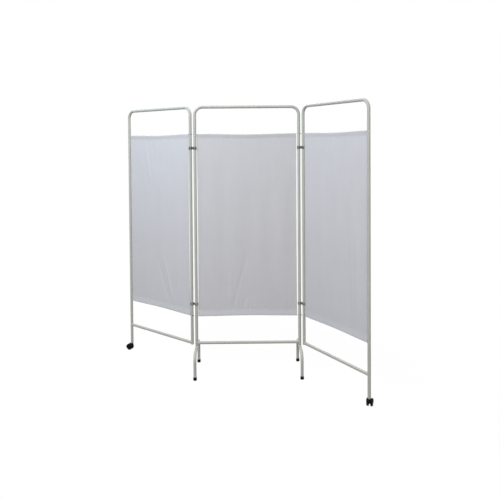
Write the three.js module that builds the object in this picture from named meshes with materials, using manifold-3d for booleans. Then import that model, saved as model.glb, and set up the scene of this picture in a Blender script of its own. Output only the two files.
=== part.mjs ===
// A three-panel ward privacy screen: a centre panel on two foot hoops, and two side panels that
// fold on figure-eight clips and roll on twin-wheel castors. Millimetres, +Z up.
import * as THREE from "three";
import { mergeVertices } from "three/addons/utils/BufferGeometryUtils.js";
import Module from "manifold-3d";

const wasm = await Module();
wasm.setup();

const degree = Math.PI / 180;
const halfTurn = Math.PI;
const quarterTurn = Math.PI / 2;
const fullTurn = Math.PI * 2;

// The whole screen
const overallHeight = 1700;
const centreWidth = 661; // between the axes of the two centre uprights
const sideWidth = 618; // between the axes of a side panel's uprights
const leftFold = 41 * degree; // the left panel stands folded back from the centre panel's plane
const rightFold = 60.5 * degree; // the right panel stands folded to the front

// Clearances
const fitGap = 0.3; // between pieces that are fixed to each other
const turnGap = 0.35; // round a pin or a tube that turns
const overrun = 4; // how far a cutting tool runs past what it cuts

// Steel tube
const tubeRadius = 9.5;
const tubeWall = 1.2;
const tubeSides = 14;
const boreSides = 10;
const tubeBore = tubeRadius - tubeWall;
const cornerRadius = 50; // centre line of the bends beside the top rail
const cornerSteps = 5;

// Cross rails and the lower ends of the uprights
const centreRailHeight = 182;
const sideRailHeight = 180;
const sideInnerEnd = 171; // lower end of a side panel's inner upright
const saddleDepth = 5; // how far a centre upright reaches down the sides of its hoop's crown

// Foot hoops
const hoopSpread = 310; // between the axes of a hoop's two legs
const hoopCrown = 157; // height of the crown's centre line
const hoopBend = 48;
const hoopSteps = 5;
const spigotRadius = 7.4;
const spigotLength = 52;
const spigotSides = 10;

// Rubber tips of the hoops
const tipRadius = 11.6;
const tipMouthRadius = 11;
const tipHeight = 20;
const tipFloor = 6;
const tipEdge = 1.2;
const tipGroove = 0.5;
const tipSides = 14;

// Plug in the lower end of a side panel's inner upright
const plugFlange = 1.4;
const plugDepth = 12;
const plugLead = 1.5;

// Rods that carry the cloths
const rodRadius = 2;
const rodHoleRadius = 2.6;
const rodSides = 6;
const rodSteps = 12;
const rodHeadRadius = 4.2;
const rodHeadHeight = 2.9;
const rodHeadSides = 10;
const capRadius = 4.8;
const capHeight = 5;
const capWall = 1;
const topSag = 5.5; // the top rod hangs down in the middle
const bottomRise = 4; // the bottom rod is drawn up in the middle

// Cloths
const clothDrop = 178; // from the screen's top to the cloths'
const clothTop = overallHeight - clothDrop;
const clothBottom = 353;
const clothHemGap = 4; // between a cloth's corner and the upright
const clothSideGap = 7; // halfway down, where the cloth's side edge is drawn in
const clothThickness = 1.2;
const hemCloth = 0.8; // one layer of cloth where it goes round a rod
const hemLoop = 2.6; // inner radius of the hem round its rod
const topHem = 27;
const bottomHem = 37;
const clothSteps = 15;
const clothRows = 6;
const loopSteps = 6;
const rippleDepth = 2.2;
const rippleLength = 148;

// Figure-eight hinge clips
const linkLength = 31.5; // between the axes of the two tubes in a clip
const upperHingeDrop = 91; // from the cloths' top down to the upper clips
const lowerHingeRise = 80; // from the cloths' bottom up to the lower clips
const strapThickness = 1.5;
const strapHeight = 19;
const waistHeight = 16;
const waistFillet = 2;
const strapSteps = 8;
const filletSteps = 2;
const boltRadius = 2;
const boltHeadRadius = 3.6;
const boltHeadHeight = 2.4;
const boltSides = 10;
const nutRadius = 4;
const nutHeight = 3.2;
const nutFlats = 6;
const boltTail = 1;

// Twin-wheel castors
const leftCastorTurn = 21 * degree; // from the panel's own direction to the castor's trail
const rightCastorTurn = 128.5 * degree;
const castorHeight = 50; // floor to the tube's end
const castorTrail = 16;
const wheelRadius = 20;
const wheelWidth = 12;
const wheelSides = 20;
const wheelEdge = 2.2;
const wheelRim = 3;
const wheelDisc = 2.6;
const wheelHub = 6;
const wheelCap = 8.5;
const wheelCapStep = 0.7;
const wheelGap = 0.6; // from the web to a wheel
const webWidth = 10;
const webHub = 8.3;
const hoodWidth = 36;
const hoodGap = 1.2; // from the tread to the hood
const hoodWall = 2.3;
const hoodRear = -15 * degree;
const hoodFront = 150 * degree;
const hoodSteps = 12;
const bossRadius = 8;
const bossTop = 46;
const bossDepth = 17;
const bossChamfer = 1.5;
const axleRadius = 3;
const axleSides = 12;
const axleInset = 2.4; // from a wheel's outer face to the end of its bore
const pivotRadius = 3;
const pivotDepth = 17;
const stemRadius = 4;
const stemLength = 24;
const collarRadius = 7.4;
const collarHeight = 1.4;
const socketFlange = 1.5;
const socketDepth = 28;

// Finishes
const ivoryPaint = new THREE.MeshStandardMaterial({ color: 0xc9cac0, roughness: 0.45, metalness: 0.1 });
const whiteCloth = new THREE.MeshStandardMaterial({ color: 0xd6d7de, roughness: 0.9, metalness: 0 });
const blackRubber = new THREE.MeshStandardMaterial({ color: 0x141414, roughness: 0.75, metalness: 0 });
const blackPlastic = new THREE.MeshStandardMaterial({ color: 0x191919, roughness: 0.5, metalness: 0 });
const greyPlastic = new THREE.MeshStandardMaterial({ color: 0xb4b5ac, roughness: 0.6, metalness: 0 });
const platedSteel = new THREE.MeshStandardMaterial({ color: 0x6b7072, roughness: 0.35, metalness: 0.9 });
const brightSteel = new THREE.MeshStandardMaterial({ color: 0xb9bcbd, roughness: 0.3, metalness: 1 });

// A closed mesh as a solid that can be joined and cut.
function solidOf(geometry) {
  const bare = geometry.index ? geometry.toNonIndexed() : geometry.clone();
  bare.deleteAttribute("normal");
  bare.deleteAttribute("uv");
  const merged = mergeVertices(bare);
  const corners = merged.index.array;
  const faces = [];
  for (let i = 0; i < corners.length; i += 3) {
    const [a, b, c] = corners.slice(i, i + 3);
    if (a !== b && b !== c && c !== a) faces.push(a, b, c);
  }
  return new wasm.Manifold(
    new wasm.Mesh({
      numProp: 3,
      vertProperties: merged.getAttribute("position").array,
      triVerts: new Uint32Array(faces),
    }),
  );
}

function geometryOf(solid) {
  const mesh = solid.getMesh();
  const geometry = new THREE.BufferGeometry();
  geometry.setAttribute("position", new THREE.BufferAttribute(new Float32Array(mesh.vertProperties), 3));
  geometry.setIndex(new THREE.BufferAttribute(new Uint32Array(mesh.triVerts), 1));
  geometry.computeVertexNormals();
  return geometry;
}

function join(...geometries) {
  return geometryOf(geometries.map(solidOf).reduce((all, next) => all.add(next)));
}

function cut(geometry, ...tools) {
  return geometryOf(tools.map(solidOf).reduce((left, tool) => left.subtract(tool), solidOf(geometry)));
}

// A path given by its stations, so that bends take short steps and straight runs one long step.
class StationPath extends THREE.Curve {
  constructor(stations) {
    super();
    this.stations = stations;
  }

  stationAt(share) {
    return this.stations[Math.round(share * (this.stations.length - 1))];
  }

  getPointAt(share, target = new THREE.Vector3()) {
    return target.copy(this.stationAt(share).point);
  }

  getTangentAt(share, target = new THREE.Vector3()) {
    return target.copy(this.stationAt(share).tangent);
  }
}

// Stations along straight runs between corners, with each inner corner rounded to one radius.
function bentRun(corners, radius, steps) {
  const stations = [];
  const directions = corners.slice(1).map((corner, i) => corner.clone().sub(corners[i]).normalize());
  stations.push({ point: corners[0], tangent: directions[0] });
  for (let i = 1; i < corners.length - 1; i++) {
    const before = directions[i - 1];
    const after = directions[i];
    const turn = before.angleTo(after);
    const setBack = radius * Math.tan(turn / 2);
    const axis = before.clone().cross(after).normalize();
    const inward = axis.clone().cross(before);
    const start = corners[i].clone().addScaledVector(before, -setBack);
    const centre = start.clone().addScaledVector(inward, radius);
    for (let step = 0; step <= steps; step++) {
      const angle = (turn * step) / steps;
      const spoke = inward.clone().negate().applyAxisAngle(axis, angle);
      stations.push({
        point: centre.clone().addScaledVector(spoke, radius),
        tangent: before.clone().applyAxisAngle(axis, angle),
      });
    }
  }
  stations.push({ point: corners[corners.length - 1], tangent: directions[directions.length - 1] });
  return new StationPath(stations);
}

function ring(radius, sides) {
  return Array.from({ length: sides }, (_, i) => {
    const angle = (fullTurn * i) / sides;
    return new THREE.Vector2(radius * Math.cos(angle), radius * Math.sin(angle));
  });
}

// A round section run along a path, hollow where a bore is given.
function tubeAlong(path, radius, sides, bore = 0) {
  const section = new THREE.Shape(ring(radius, sides));
  if (bore > 0) section.holes.push(new THREE.Path(ring(bore, boreSides)));
  return new THREE.ExtrudeGeometry(section, { extrudePath: path, steps: path.stations.length - 1 });
}

function straightTube(from, to, radius, sides, bore = 0) {
  return tubeAlong(bentRun([from, to], radius, 1), radius, sides, bore);
}

// A turned piece about Z, its profile given as radius and height.
function turned(profile, sides) {
  const points = profile.map(([radius, height]) => new THREE.Vector2(radius, height));
  return new THREE.LatheGeometry(points, sides).rotateX(quarterTurn);
}

// A cylinder about the Y axis, centred on a place in the XZ plane.
function crossPin(radius, length, sides, x, z, y = 0) {
  return new THREE.CylinderGeometry(radius, radius, length, sides).translate(x, y, z);
}

// An outline in the XZ plane, made into a plate centred on it.
function plate(outline, width) {
  const shape = new THREE.Shape(outline.map(([x, z]) => new THREE.Vector2(x, z)));
  const flat = new THREE.ExtrudeGeometry(shape, { depth: width, bevelEnabled: false });
  return flat.translate(0, 0, -width / 2).rotateX(quarterTurn);
}

function arc(x, y, radius, from, to, steps) {
  return Array.from({ length: steps + 1 }, (_, i) => {
    const angle = from + ((to - from) * i) / steps;
    return [x + radius * Math.cos(angle), y + radius * Math.sin(angle)];
  });
}

function place(group, name, geometry, material) {
  const mesh = new THREE.Mesh(geometry, material);
  mesh.name = name;
  group.add(mesh);
  return mesh;
}

function point(x, y, z) {
  return new THREE.Vector3(x, y, z);
}

// How much of the rods' sag is reached at a place along a panel, nought at the uprights' faces.
function sagShare(x, width) {
  const share = (x - tubeRadius) / (width - 2 * tubeRadius);
  const inside = Math.min(Math.max(share, 0), 1);
  return (1 - Math.cos(fullTurn * inside)) / 2;
}

const topRodHeight = clothTop - hemLoop - hemCloth;
const bottomRodHeight = clothBottom + hemLoop + hemCloth;

// The bent tube of one panel: inner upright at x = 0, top rail, outer upright at x = width.
function frameTube(width, startHeight, endHeight) {
  const top = overallHeight - tubeRadius;
  const corners = [
    point(0, 0, startHeight),
    point(0, 0, top),
    point(width, 0, top),
    point(width, 0, endHeight),
  ];
  const tube = tubeAlong(bentRun(corners, cornerRadius, cornerSteps), tubeRadius, tubeSides, tubeBore);
  const reach = tubeRadius + overrun;
  const drills = [topRodHeight, bottomRodHeight].map((height) =>
    straightTube(point(-reach, 0, height), point(width + reach, 0, height), rodHoleRadius, rodSides),
  );
  return cut(tube, ...drills);
}

// A cross rail, its ends shaped to sit against the two uprights.
function crossRail(width, height) {
  const rail = straightTube(point(0, 0, height), point(width, 0, height), tubeRadius, tubeSides, tubeBore);
  const reach = tubeRadius + overrun;
  const notches = [0, width].map((x) =>
    straightTube(point(x, 0, height - reach), point(x, 0, height + reach), tubeRadius + fitGap, tubeSides),
  );
  return cut(rail, ...notches);
}

// A rod through both uprights with a round head at x = 0, bowed between the uprights' faces.
function clothRod(width, height, bow) {
  const start = -(tubeRadius + fitGap + rodHeadHeight / 2);
  const end = width + tubeRadius + capHeight - capWall;
  const places = [start];
  for (let step = 0; step <= rodSteps; step++) {
    places.push(tubeRadius + ((width - 2 * tubeRadius) * step) / rodSteps);
  }
  places.push(end);
  const stations = places.map((x) => ({
    point: point(x, 0, height + bow * sagShare(x, width)),
    tangent: point(1, 0, 0),
  }));
  const rod = tubeAlong(new StationPath(stations), rodRadius, rodSides);
  const crownShares = [0.88, 0.55];
  const profile = [
    [0, 0],
    [rodHeadRadius, 0],
    [rodHeadRadius * crownShares[0], rodHeadHeight * crownShares[1]],
    [rodRadius, rodHeadHeight * crownShares[0]],
    [0, rodHeadHeight],
  ];
  const head = turned(profile, rodHeadSides)
    .rotateY(-quarterTurn)
    .translate(-(tubeRadius + fitGap), 0, height);
  return join(rod, head);
}

// The domed push-on cap on a rod's other end.
function rodCap() {
  const shoulder = capHeight / 2;
  const bore = rodRadius + fitGap;
  const profile = [
    [0, capHeight - capWall],
    [bore, capHeight - capWall],
    [bore, 0],
    [capRadius, 0],
    [capRadius, capWall],
    [capRadius - capWall, capWall],
    [capRadius - capWall, shoulder],
    [bore, capHeight - capWall / 2],
    [0, capHeight],
  ];
  return turned(profile, rodHeadSides).rotateY(quarterTurn);
}

// The section of a cloth across its thickness: a sheet with a hem loop round each rod.
function clothSection() {
  const half = clothThickness / 2;
  const outer = hemLoop + hemCloth;
  const low = clothBottom + bottomHem;
  const high = clothTop - topHem;
  const rows = Array.from({ length: clothRows + 1 }, (_, i) => low + ((high - low) * i) / clothRows);
  const outline = [
    ...rows.map((height) => [half, height]),
    ...arc(0, topRodHeight, outer, 0, halfTurn, loopSteps),
    ...rows.toReversed().map((height) => [-half, height]),
    ...arc(0, bottomRodHeight, outer, halfTurn, fullTurn, loopSteps),
  ];
  const shape = new THREE.Shape(outline.map(([y, z]) => new THREE.Vector2(y, z)));
  const pocketShare = 0.6;
  const topPocketFoot = [0, topRodHeight - topHem * pocketShare];
  const bottomPocketTop = [0, bottomRodHeight + bottomHem * pocketShare];
  const pockets = [
    [...arc(0, topRodHeight, hemLoop, 0, halfTurn, loopSteps), topPocketFoot],
    [...arc(0, bottomRodHeight, hemLoop, halfTurn, fullTurn, loopSteps), bottomPocketTop],
  ];
  for (const pocket of pockets) {
    shape.holes.push(new THREE.Path(pocket.map(([y, z]) => new THREE.Vector2(y, z))));
  }
  return shape;
}

// A section with holes carried through stations, closed at both ends.
function loft(section, stationCount, placed) {
  const { shape: contour, holes } = section.extractPoints(1);
  if (THREE.ShapeUtils.isClockWise(contour)) contour.reverse();
  for (const hole of holes) {
    if (!THREE.ShapeUtils.isClockWise(hole)) hole.reverse();
  }
  const rings = [contour, ...holes];
  const flat = rings.flat();
  const vertices = [];
  for (let station = 0; station < stationCount; station++) {
    for (const { x, y } of flat) vertices.push(...placed(station, x, y).toArray());
  }
  const faces = [];
  for (let station = 0; station < stationCount - 1; station++) {
    let first = station * flat.length;
    for (const loop of rings) {
      for (let i = 0; i < loop.length; i++) {
        const a = first + i;
        const b = first + ((i + 1) % loop.length);
        faces.push(a, b, b + flat.length, a, b + flat.length, a + flat.length);
      }
      first += loop.length;
    }
  }
  const last = (stationCount - 1) * flat.length;
  for (const [a, b, c] of THREE.ShapeUtils.triangulateShape(contour, holes)) {
    faces.push(c, b, a, last + a, last + b, last + c);
  }
  const geometry = new THREE.BufferGeometry();
  geometry.setAttribute("position", new THREE.Float32BufferAttribute(vertices, 3));
  geometry.setIndex(faces);
  geometry.computeVertexNormals();
  return geometry;
}

// Where a height is between a cloth's two hems: nought at the bottom hem's edge, one at the top hem's.
function freeShare(height) {
  const low = clothBottom + bottomHem;
  const high = clothTop - topHem;
  return Math.min(Math.max((height - low) / (high - low), 0), 1);
}

// Faint upright ripples, flat at both hems and deepest near the cloth's side edges.
function ripple(x, height, width, startPhase) {
  const edgeShare = Math.abs((2 * x) / width - 1);
  const calmShare = 0.35;
  const swell = calmShare + (1 - calmShare) * edgeShare;
  const fade = Math.sin(halfTurn * freeShare(height));
  return rippleDepth * swell * fade * Math.sin((fullTurn * x) / rippleLength + startPhase);
}

// A cloth on its two rods, its side edges drawn in between the hems.
function cloth(width, startPhase) {
  return loft(clothSection(), clothSteps + 1, (station, y, z) => {
    const upShare = freeShare(z);
    const drawn = Math.sqrt(Math.sin(halfTurn * upShare));
    const edge = tubeRadius + clothHemGap + (clothSideGap - clothHemGap) * drawn;
    const x = edge + ((width - 2 * edge) * station) / clothSteps;
    const lift = bottomRise * (1 - upShare) - topSag * upShare;
    return point(x, y + ripple(x, z, width, startPhase), z + lift * sagShare(x, width));
  });
}

// One panel without its feet: frame, cross rail, two rods with caps, and the cloth.
function panel(name, width, frame, railHeight, startPhase) {
  const group = new THREE.Group();
  place(group, `${name}_frame`, frame, ivoryPaint);
  place(group, `${name}_cross_rail`, crossRail(width, railHeight), ivoryPaint);
  const rods = [
    ["top", topRodHeight, -topSag],
    ["bottom", bottomRodHeight, bottomRise],
  ];
  for (const [where, height, bow] of rods) {
    place(group, `${name}_${where}_rod`, clothRod(width, height, bow), brightSteel);
    const cap = place(group, `${name}_${where}_rod_cap`, rodCap(), platedSteel);
    cap.position.set(width + tubeRadius + fitGap, 0, height);
  }
  place(group, `${name}_cloth`, cloth(width, startPhase), whiteCloth);
  return group;
}

// An inverted U of tube that crosses under an upright, with the spigot that plugs into it.
function footHoop() {
  const half = hoopSpread / 2;
  const foot = tipFloor + fitGap;
  const corners = [
    point(0, -half, foot),
    point(0, -half, hoopCrown),
    point(0, half, hoopCrown),
    point(0, half, foot),
  ];
  const hoop = tubeAlong(bentRun(corners, hoopBend, hoopSteps), tubeRadius, tubeSides, tubeBore);
  const spigot = straightTube(
    point(0, 0, hoopCrown + tubeBore / 2),
    point(0, 0, hoopCrown + spigotLength),
    spigotRadius,
    spigotSides,
  );
  return join(hoop, spigot);
}

function footTip() {
  const mouth = tubeRadius + fitGap;
  const band = (tipHeight - tipFloor) / 2;
  const profile = [
    [0, 0],
    [tipRadius - tipEdge, 0],
    [tipRadius, tipEdge],
    [tipRadius, band],
    [tipRadius - tipGroove, band + tipEdge],
    [tipMouthRadius, tipHeight - tipEdge],
    [tipMouthRadius - tipEdge / 2, tipHeight],
    [mouth, tipHeight],
    [mouth, tipFloor],
    [0, tipFloor],
  ];
  return turned(profile, tipSides);
}

function centrePanel() {
  const foot = hoopCrown + saddleDepth;
  const saddles = [0, centreWidth].map((x) =>
    straightTube(
      point(x, -tubeRadius - overrun, hoopCrown),
      point(x, tubeRadius + overrun, hoopCrown),
      tubeRadius + fitGap,
      tubeSides,
    ),
  );
  const frame = cut(frameTube(centreWidth, foot, foot), ...saddles);
  const group = panel("centre", centreWidth, frame, centreRailHeight, 0);
  const sides = [
    ["left", 0],
    ["right", centreWidth],
  ];
  for (const [side, x] of sides) {
    place(group, `${side}_foot_hoop`, footHoop(), ivoryPaint).position.x = x;
    const legs = [
      ["front", -1],
      ["rear", 1],
    ];
    for (const [where, sign] of legs) {
      const tip = place(group, `${side}_${where}_foot_tip`, footTip(), blackRubber);
      tip.position.set(x, (sign * hoopSpread) / 2, 0);
    }
  }
  group.position.x = -centreWidth / 2;
  return group;
}

// One half of a figure-eight clip: half round each tube and a flat waist between them.
function strap() {
  const inner = tubeRadius + turnGap;
  const outer = inner + strapThickness;
  const filletCentre = strapThickness + waistFillet;
  const filletX = Math.sqrt((outer + waistFillet) ** 2 - filletCentre ** 2);
  const lean = Math.atan2(filletCentre, filletX);
  const farX = linkLength - filletX;
  const inside = waistFillet + strapThickness;
  const outline = [
    ...arc(0, 0, outer, halfTurn, lean, strapSteps),
    ...arc(filletX, filletCentre, waistFillet, halfTurn + lean, halfTurn + quarterTurn, filletSteps),
    ...arc(farX, filletCentre, waistFillet, halfTurn + quarterTurn, fullTurn - lean, filletSteps),
    ...arc(linkLength, 0, outer, halfTurn - lean, 0, strapSteps),
    ...arc(linkLength, 0, inner, 0, halfTurn - lean, strapSteps),
    ...arc(farX, filletCentre, inside, fullTurn - lean, halfTurn + quarterTurn, filletSteps),
    ...arc(filletX, filletCentre, inside, halfTurn + quarterTurn, halfTurn + lean, filletSteps),
    ...arc(0, 0, inner, lean, halfTurn, strapSteps),
  ];
  const shape = new THREE.Shape(outline.map(([x, y]) => new THREE.Vector2(x, y)));
  const band = new THREE.ExtrudeGeometry(shape, { depth: strapHeight, bevelEnabled: false });
  band.translate(0, fitGap / 2, -strapHeight / 2);
  const notchHeight = (strapHeight - waistHeight) / 2;
  const notchWidth = farX - filletX + 2 * waistFillet;
  const notches = [-1, 1].map((sign) =>
    new THREE.BoxGeometry(notchWidth, 2 * outer, 2 * notchHeight).translate(
      linkLength / 2,
      0,
      (sign * strapHeight) / 2,
    ),
  );
  const hole = crossPin(boltRadius + fitGap, 2 * outer, boltSides, linkLength / 2, 0);
  return cut(band, ...notches, hole);
}

const strapFace = fitGap / 2 + strapThickness + fitGap; // where a bolt's head or nut seats

function hingeBolt() {
  const domeShare = 0.6;
  const tail = strapFace + nutHeight + boltTail;
  const profile = [
    [0, -tail],
    [boltRadius, -tail],
    [boltRadius, strapFace],
    [boltHeadRadius, strapFace],
    [boltHeadRadius, strapFace + boltHeadHeight * domeShare],
    [boltHeadRadius * domeShare, strapFace + boltHeadHeight],
    [0, strapFace + boltHeadHeight],
  ];
  return turned(profile, boltSides).rotateX(-quarterTurn);
}

function hingeNut() {
  const hexagon = new THREE.Shape(ring(nutRadius, nutFlats));
  hexagon.holes.push(new THREE.Path(ring(boltRadius + fitGap, boltSides)));
  const nut = new THREE.ExtrudeGeometry(hexagon, { depth: nutHeight, bevelEnabled: false });
  return nut.rotateX(quarterTurn).translate(0, -strapFace, 0);
}

// The two clips of one side, in the frame of the link: centre upright at x = 0.
function hingeLink(side, frontSign) {
  const group = new THREE.Group();
  const levels = [
    ["upper", clothTop - upperHingeDrop],
    ["lower", clothBottom + lowerHingeRise],
  ];
  for (const [level, height] of levels) {
    const clip = new THREE.Group();
    clip.position.z = height;
    if (frontSign < 0) clip.rotation.x = halfTurn;
    place(clip, `${side}_${level}_hinge_front_strap`, strap(), platedSteel);
    place(clip, `${side}_${level}_hinge_rear_strap`, strap(), platedSteel).rotation.x = halfTurn;
    place(clip, `${side}_${level}_hinge_bolt`, hingeBolt(), platedSteel).position.x = linkLength / 2;
    place(clip, `${side}_${level}_hinge_nut`, hingeNut(), platedSteel).position.x = linkLength / 2;
    group.add(clip);
  }
  return group;
}

function tubePlug() {
  const flange = tubeRadius - fitGap;
  const stem = tubeBore * Math.cos(halfTurn / boreSides) - fitGap;
  const profile = [
    [0, 0],
    [flange - plugFlange / 2, 0],
    [flange, plugFlange / 2],
    [flange, plugFlange],
    [stem, plugFlange],
    [stem, plugDepth - plugLead],
    [stem - plugLead, plugDepth],
    [0, plugDepth],
  ];
  return turned(profile, tipSides);
}

// The castor's fork: a web between the wheels, a hood over them and a boss for the pivot.
function castorBody() {
  const hoodRadius = wheelRadius + hoodGap + hoodWall;
  const wellRadius = wheelRadius + hoodGap;
  const sector = [
    [castorTrail, wheelRadius],
    ...arc(castorTrail, wheelRadius, hoodRadius, hoodRear, hoodFront, hoodSteps),
  ];
  const hub = crossPin(webHub, webWidth, wheelSides, castorTrail, wheelRadius);
  const bossProfile = [
    [0, bossTop - bossDepth],
    [bossRadius, bossTop - bossDepth],
    [bossRadius, bossTop - bossChamfer],
    [bossRadius - bossChamfer, bossTop],
    [0, bossTop],
  ];
  const whole = join(plate(sector, hoodWidth), hub, turned(bossProfile, tubeSides));
  const wellWidth = (hoodWidth - webWidth) / 2 + overrun;
  const wellMiddle = (webWidth + wellWidth) / 2;
  const wells = [-1, 1].map((sign) =>
    crossPin(wellRadius, wellWidth, wheelSides, castorTrail, wheelRadius, sign * wellMiddle),
  );
  const pivotBore = straightTube(
    point(0, 0, bossTop - pivotDepth - fitGap),
    point(0, 0, bossTop + overrun),
    pivotRadius + turnGap,
    axleSides,
  );
  const axleBore = crossPin(axleRadius + fitGap, webWidth + overrun, axleSides, castorTrail, wheelRadius);
  return cut(whole, ...wells, pivotBore, axleBore);
}

// A wheel about the Y axis, its inner side at y = 0: a cup with a hub and a stepped cap face.
function castorWheel() {
  const bore = axleRadius + turnGap;
  const discBack = wheelWidth - wheelDisc;
  const innerRim = wheelRadius - wheelRim;
  const profile = [
    [0, wheelWidth - axleInset],
    [bore, wheelWidth - axleInset],
    [bore, 0],
    [wheelHub, 0],
    [wheelHub, discBack],
    [innerRim, discBack],
    [innerRim, 0],
    [wheelRadius - wheelEdge / 2, 0],
    [wheelRadius, wheelEdge / 2],
    [wheelRadius, wheelWidth - wheelEdge],
    [wheelRadius - wheelEdge, wheelWidth - wheelCapStep],
    [wheelCap + wheelCapStep, wheelWidth - wheelCapStep],
    [wheelCap, wheelWidth],
    [0, wheelWidth],
  ];
  return new THREE.LatheGeometry(profile.map(([r, y]) => new THREE.Vector2(r, y)), wheelSides);
}

function castorStem() {
  const collarFoot = bossTop + fitGap;
  const collarTop = collarFoot + collarHeight;
  const profile = [
    [0, bossTop - pivotDepth],
    [pivotRadius, bossTop - pivotDepth],
    [pivotRadius, collarFoot],
    [collarRadius, collarFoot],
    [collarRadius, collarTop],
    [stemRadius, collarTop],
    [stemRadius, collarTop + stemLength],
    [0, collarTop + stemLength],
  ];
  return turned(profile, axleSides);
}

// The sleeve that lines the tube's end and holds the stem.
function castorSocket() {
  const bore = stemRadius + fitGap;
  const sleeve = tubeBore * Math.cos(halfTurn / boreSides) - fitGap;
  const flangeTop = castorHeight - fitGap;
  const flangeFoot = flangeTop - socketFlange;
  const profile = [
    [bore, flangeFoot],
    [tubeRadius, flangeFoot],
    [tubeRadius, flangeTop],
    [sleeve, flangeTop],
    [sleeve, flangeFoot + socketDepth],
    [bore, flangeFoot + socketDepth],
    [bore, flangeFoot],
  ];
  return turned(profile, tubeSides);
}

function castor(side) {
  const group = new THREE.Group();
  place(group, `${side}_castor_body`, castorBody(), blackPlastic);
  const innerFace = webWidth / 2 + wheelGap;
  const axleLength = 2 * (innerFace + wheelWidth - axleInset - fitGap);
  const axle = crossPin(axleRadius, axleLength, axleSides, castorTrail, wheelRadius);
  place(group, `${side}_castor_axle`, axle, brightSteel);
  const wheels = [
    ["near", 1],
    ["far", -1],
  ];
  for (const [which, sign] of wheels) {
    const wheel = place(group, `${side}_castor_${which}_wheel`, castorWheel(), blackRubber);
    wheel.position.set(castorTrail, sign * innerFace, wheelRadius);
    if (sign < 0) wheel.rotation.z = halfTurn;
  }
  return group;
}

// A side panel from its inner upright outwards, with its castor under the outer upright.
function sidePanel(side, castorTurn, startPhase) {
  const frame = frameTube(sideWidth, sideInnerEnd, castorHeight);
  const group = panel(side, sideWidth, frame, sideRailHeight, startPhase);
  place(group, `${side}_tube_plug`, tubePlug(), greyPlastic).position.z = sideInnerEnd - fitGap - plugFlange;
  place(group, `${side}_castor_socket`, castorSocket(), blackPlastic).position.x = sideWidth;
  place(group, `${side}_castor_stem`, castorStem(), brightSteel).position.x = sideWidth;
  const swivel = castor(side);
  swivel.position.x = sideWidth;
  swivel.rotation.z = castorTurn;
  group.add(swivel);
  return group;
}

// A side panel on its link: the link and the panel each take half of the fold.
function wing(side, hingeX, outward, fold, frontSign, castorTurn, startPhase) {
  const link = hingeLink(side, frontSign);
  link.position.x = hingeX;
  link.rotation.z = outward - fold / 2;
  const leaf = sidePanel(side, castorTurn, startPhase);
  leaf.position.x = linkLength;
  leaf.rotation.z = -fold / 2;
  link.add(leaf);
  return link;
}

const screen = new THREE.Group();
screen.add(centrePanel());
screen.add(wing("left", -centreWidth / 2, halfTurn, leftFold, 1, leftCastorTurn, quarterTurn));
screen.add(wing("right", centreWidth / 2, 0, rightFold, -1, rightCastorTurn, halfTurn));

// The origin is on the floor, under the middle of the space that the standing screen takes.
const extent = new THREE.Box3().setFromObject(screen, true);
const middle = extent.getCenter(new THREE.Vector3());
screen.position.set(-middle.x, -middle.y, -extent.min.z);

const part = new THREE.Group();
part.add(screen);

export default part;
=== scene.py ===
"""The finished look of a ward privacy screen: three cloth panels in bent tube frames. Metres, +Z up."""

import math

import bmesh
import bpy
from mathutils import Matrix, Vector, noise


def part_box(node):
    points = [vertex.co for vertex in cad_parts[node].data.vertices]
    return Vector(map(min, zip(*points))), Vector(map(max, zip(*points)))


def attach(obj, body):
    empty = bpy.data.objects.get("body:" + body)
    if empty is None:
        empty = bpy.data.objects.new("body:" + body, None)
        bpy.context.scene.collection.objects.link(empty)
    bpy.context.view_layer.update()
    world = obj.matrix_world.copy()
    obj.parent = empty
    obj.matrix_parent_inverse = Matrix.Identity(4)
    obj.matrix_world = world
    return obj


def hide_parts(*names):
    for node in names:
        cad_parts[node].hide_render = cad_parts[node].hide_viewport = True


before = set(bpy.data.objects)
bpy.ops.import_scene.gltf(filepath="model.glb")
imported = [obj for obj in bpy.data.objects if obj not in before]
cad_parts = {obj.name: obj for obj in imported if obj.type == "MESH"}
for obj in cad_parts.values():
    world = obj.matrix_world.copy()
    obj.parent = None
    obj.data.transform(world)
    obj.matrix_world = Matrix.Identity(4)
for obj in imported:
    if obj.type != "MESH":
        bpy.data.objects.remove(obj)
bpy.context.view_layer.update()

MM = 0.001
FULL_TURN = 2 * math.pi
HALF_TURN = math.pi
QUARTER_TURN = math.pi / 2
SIXTH_TURN = math.pi / 3
X_AXIS = Vector((1, 0, 0))
Y_AXIS = Vector((0, 1, 0))
Z_AXIS = Vector((0, 0, 1))

# Tube
TUBE_RADIUS = 9.5 * MM
TUBE_WALL = 1.2 * MM
TUBE_BORE = TUBE_RADIUS - TUBE_WALL
TUBE_SIDES = 40
CORNER_RADIUS = 50 * MM
BEND_STEPS = 20
FIT_GAP = 0.3 * MM
SHARP_DEGREES = 35

# Welds at the cross rails' ends
RAIL_GAP = 0.05 * MM
WELD_RADIUS = 1.5 * MM
WELD_SINK = 0.5 * MM
WELD_SCALLOPS = 22
WELD_WAVE_SHARE = 0.14
WELD_STEPS = 66
WELD_SIDES = 8
UPRIGHT_SHARE = 0.99

# Stake holes that hold a castor's sleeve, turned from the panel's own X axis by degrees
STAKE_COUNT = 4
STAKE_RADIUS = 1.2 * MM
STAKE_RISE = 22 * MM
STAKE_TURNS = {"left": 121, "right": 4}
DRILL_SIDES = 20

# Foot hoops
HOOP_BEND = 48 * MM
SADDLE_DEPTH = 5 * MM
SPIGOT_LENGTH = 52 * MM

# Rods, and the pins that keep the side panels' rods from turning
ROD_RADIUS = 2 * MM
ROD_HOLE = 2.6 * MM
ROD_STEPS = 40
ROD_HEAD_SINK = 1.45 * MM
ROD_CAP_SINK = 3.6 * MM
TOP_SAG = 5.5 * MM
BOTTOM_RISE = 4 * MM
PIN_RADIUS = 2.6 * MM
PIN_SINK = 0.9 * MM
PIN_RISE = 0.9 * MM
PIN_TURN = 146

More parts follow.
